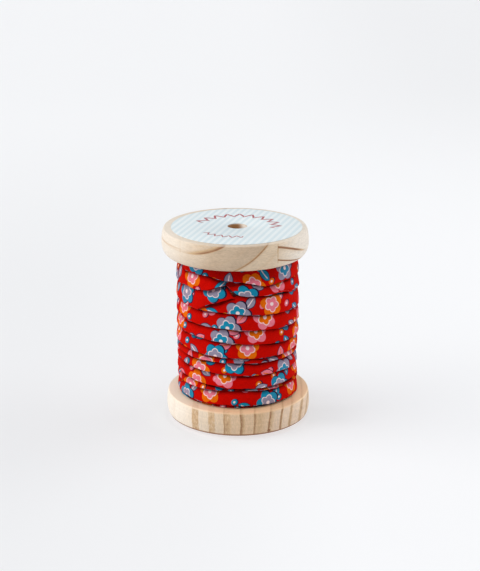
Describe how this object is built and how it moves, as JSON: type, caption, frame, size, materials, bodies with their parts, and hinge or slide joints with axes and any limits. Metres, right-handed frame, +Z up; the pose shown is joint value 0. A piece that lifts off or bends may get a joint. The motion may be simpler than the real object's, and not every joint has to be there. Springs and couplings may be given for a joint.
{
  "type": "roll of bias tape on a wooden spool",
  "caption": "Printed double-fold bias tape wound in stepped turns on a turned wooden spool with a round paper label and a spindle hole.",
  "frame": {"origin": "centre of the lower disc's flat foot, on the axis of the spindle hole", "axes": "+Z up along the spindle hole, -Y towards the front that the picture shows, +X to its right"},
  "size_m": [0.0653, 0.064, 0.0878],
  "materials": {
    "wood": "bare turned pine, matt",
    "label_paper": "uncoated paper with fine pale stripes",
    "tape_cloth": "fine plain-weave printed cotton"
  },
  "bodies": {
    "root": {"flange_lower": "wood", "flange_upper": "wood", "barrel": "wood", "label": "label_paper", "tape_winding": "tape_cloth"}
  },
  "joints": []
}
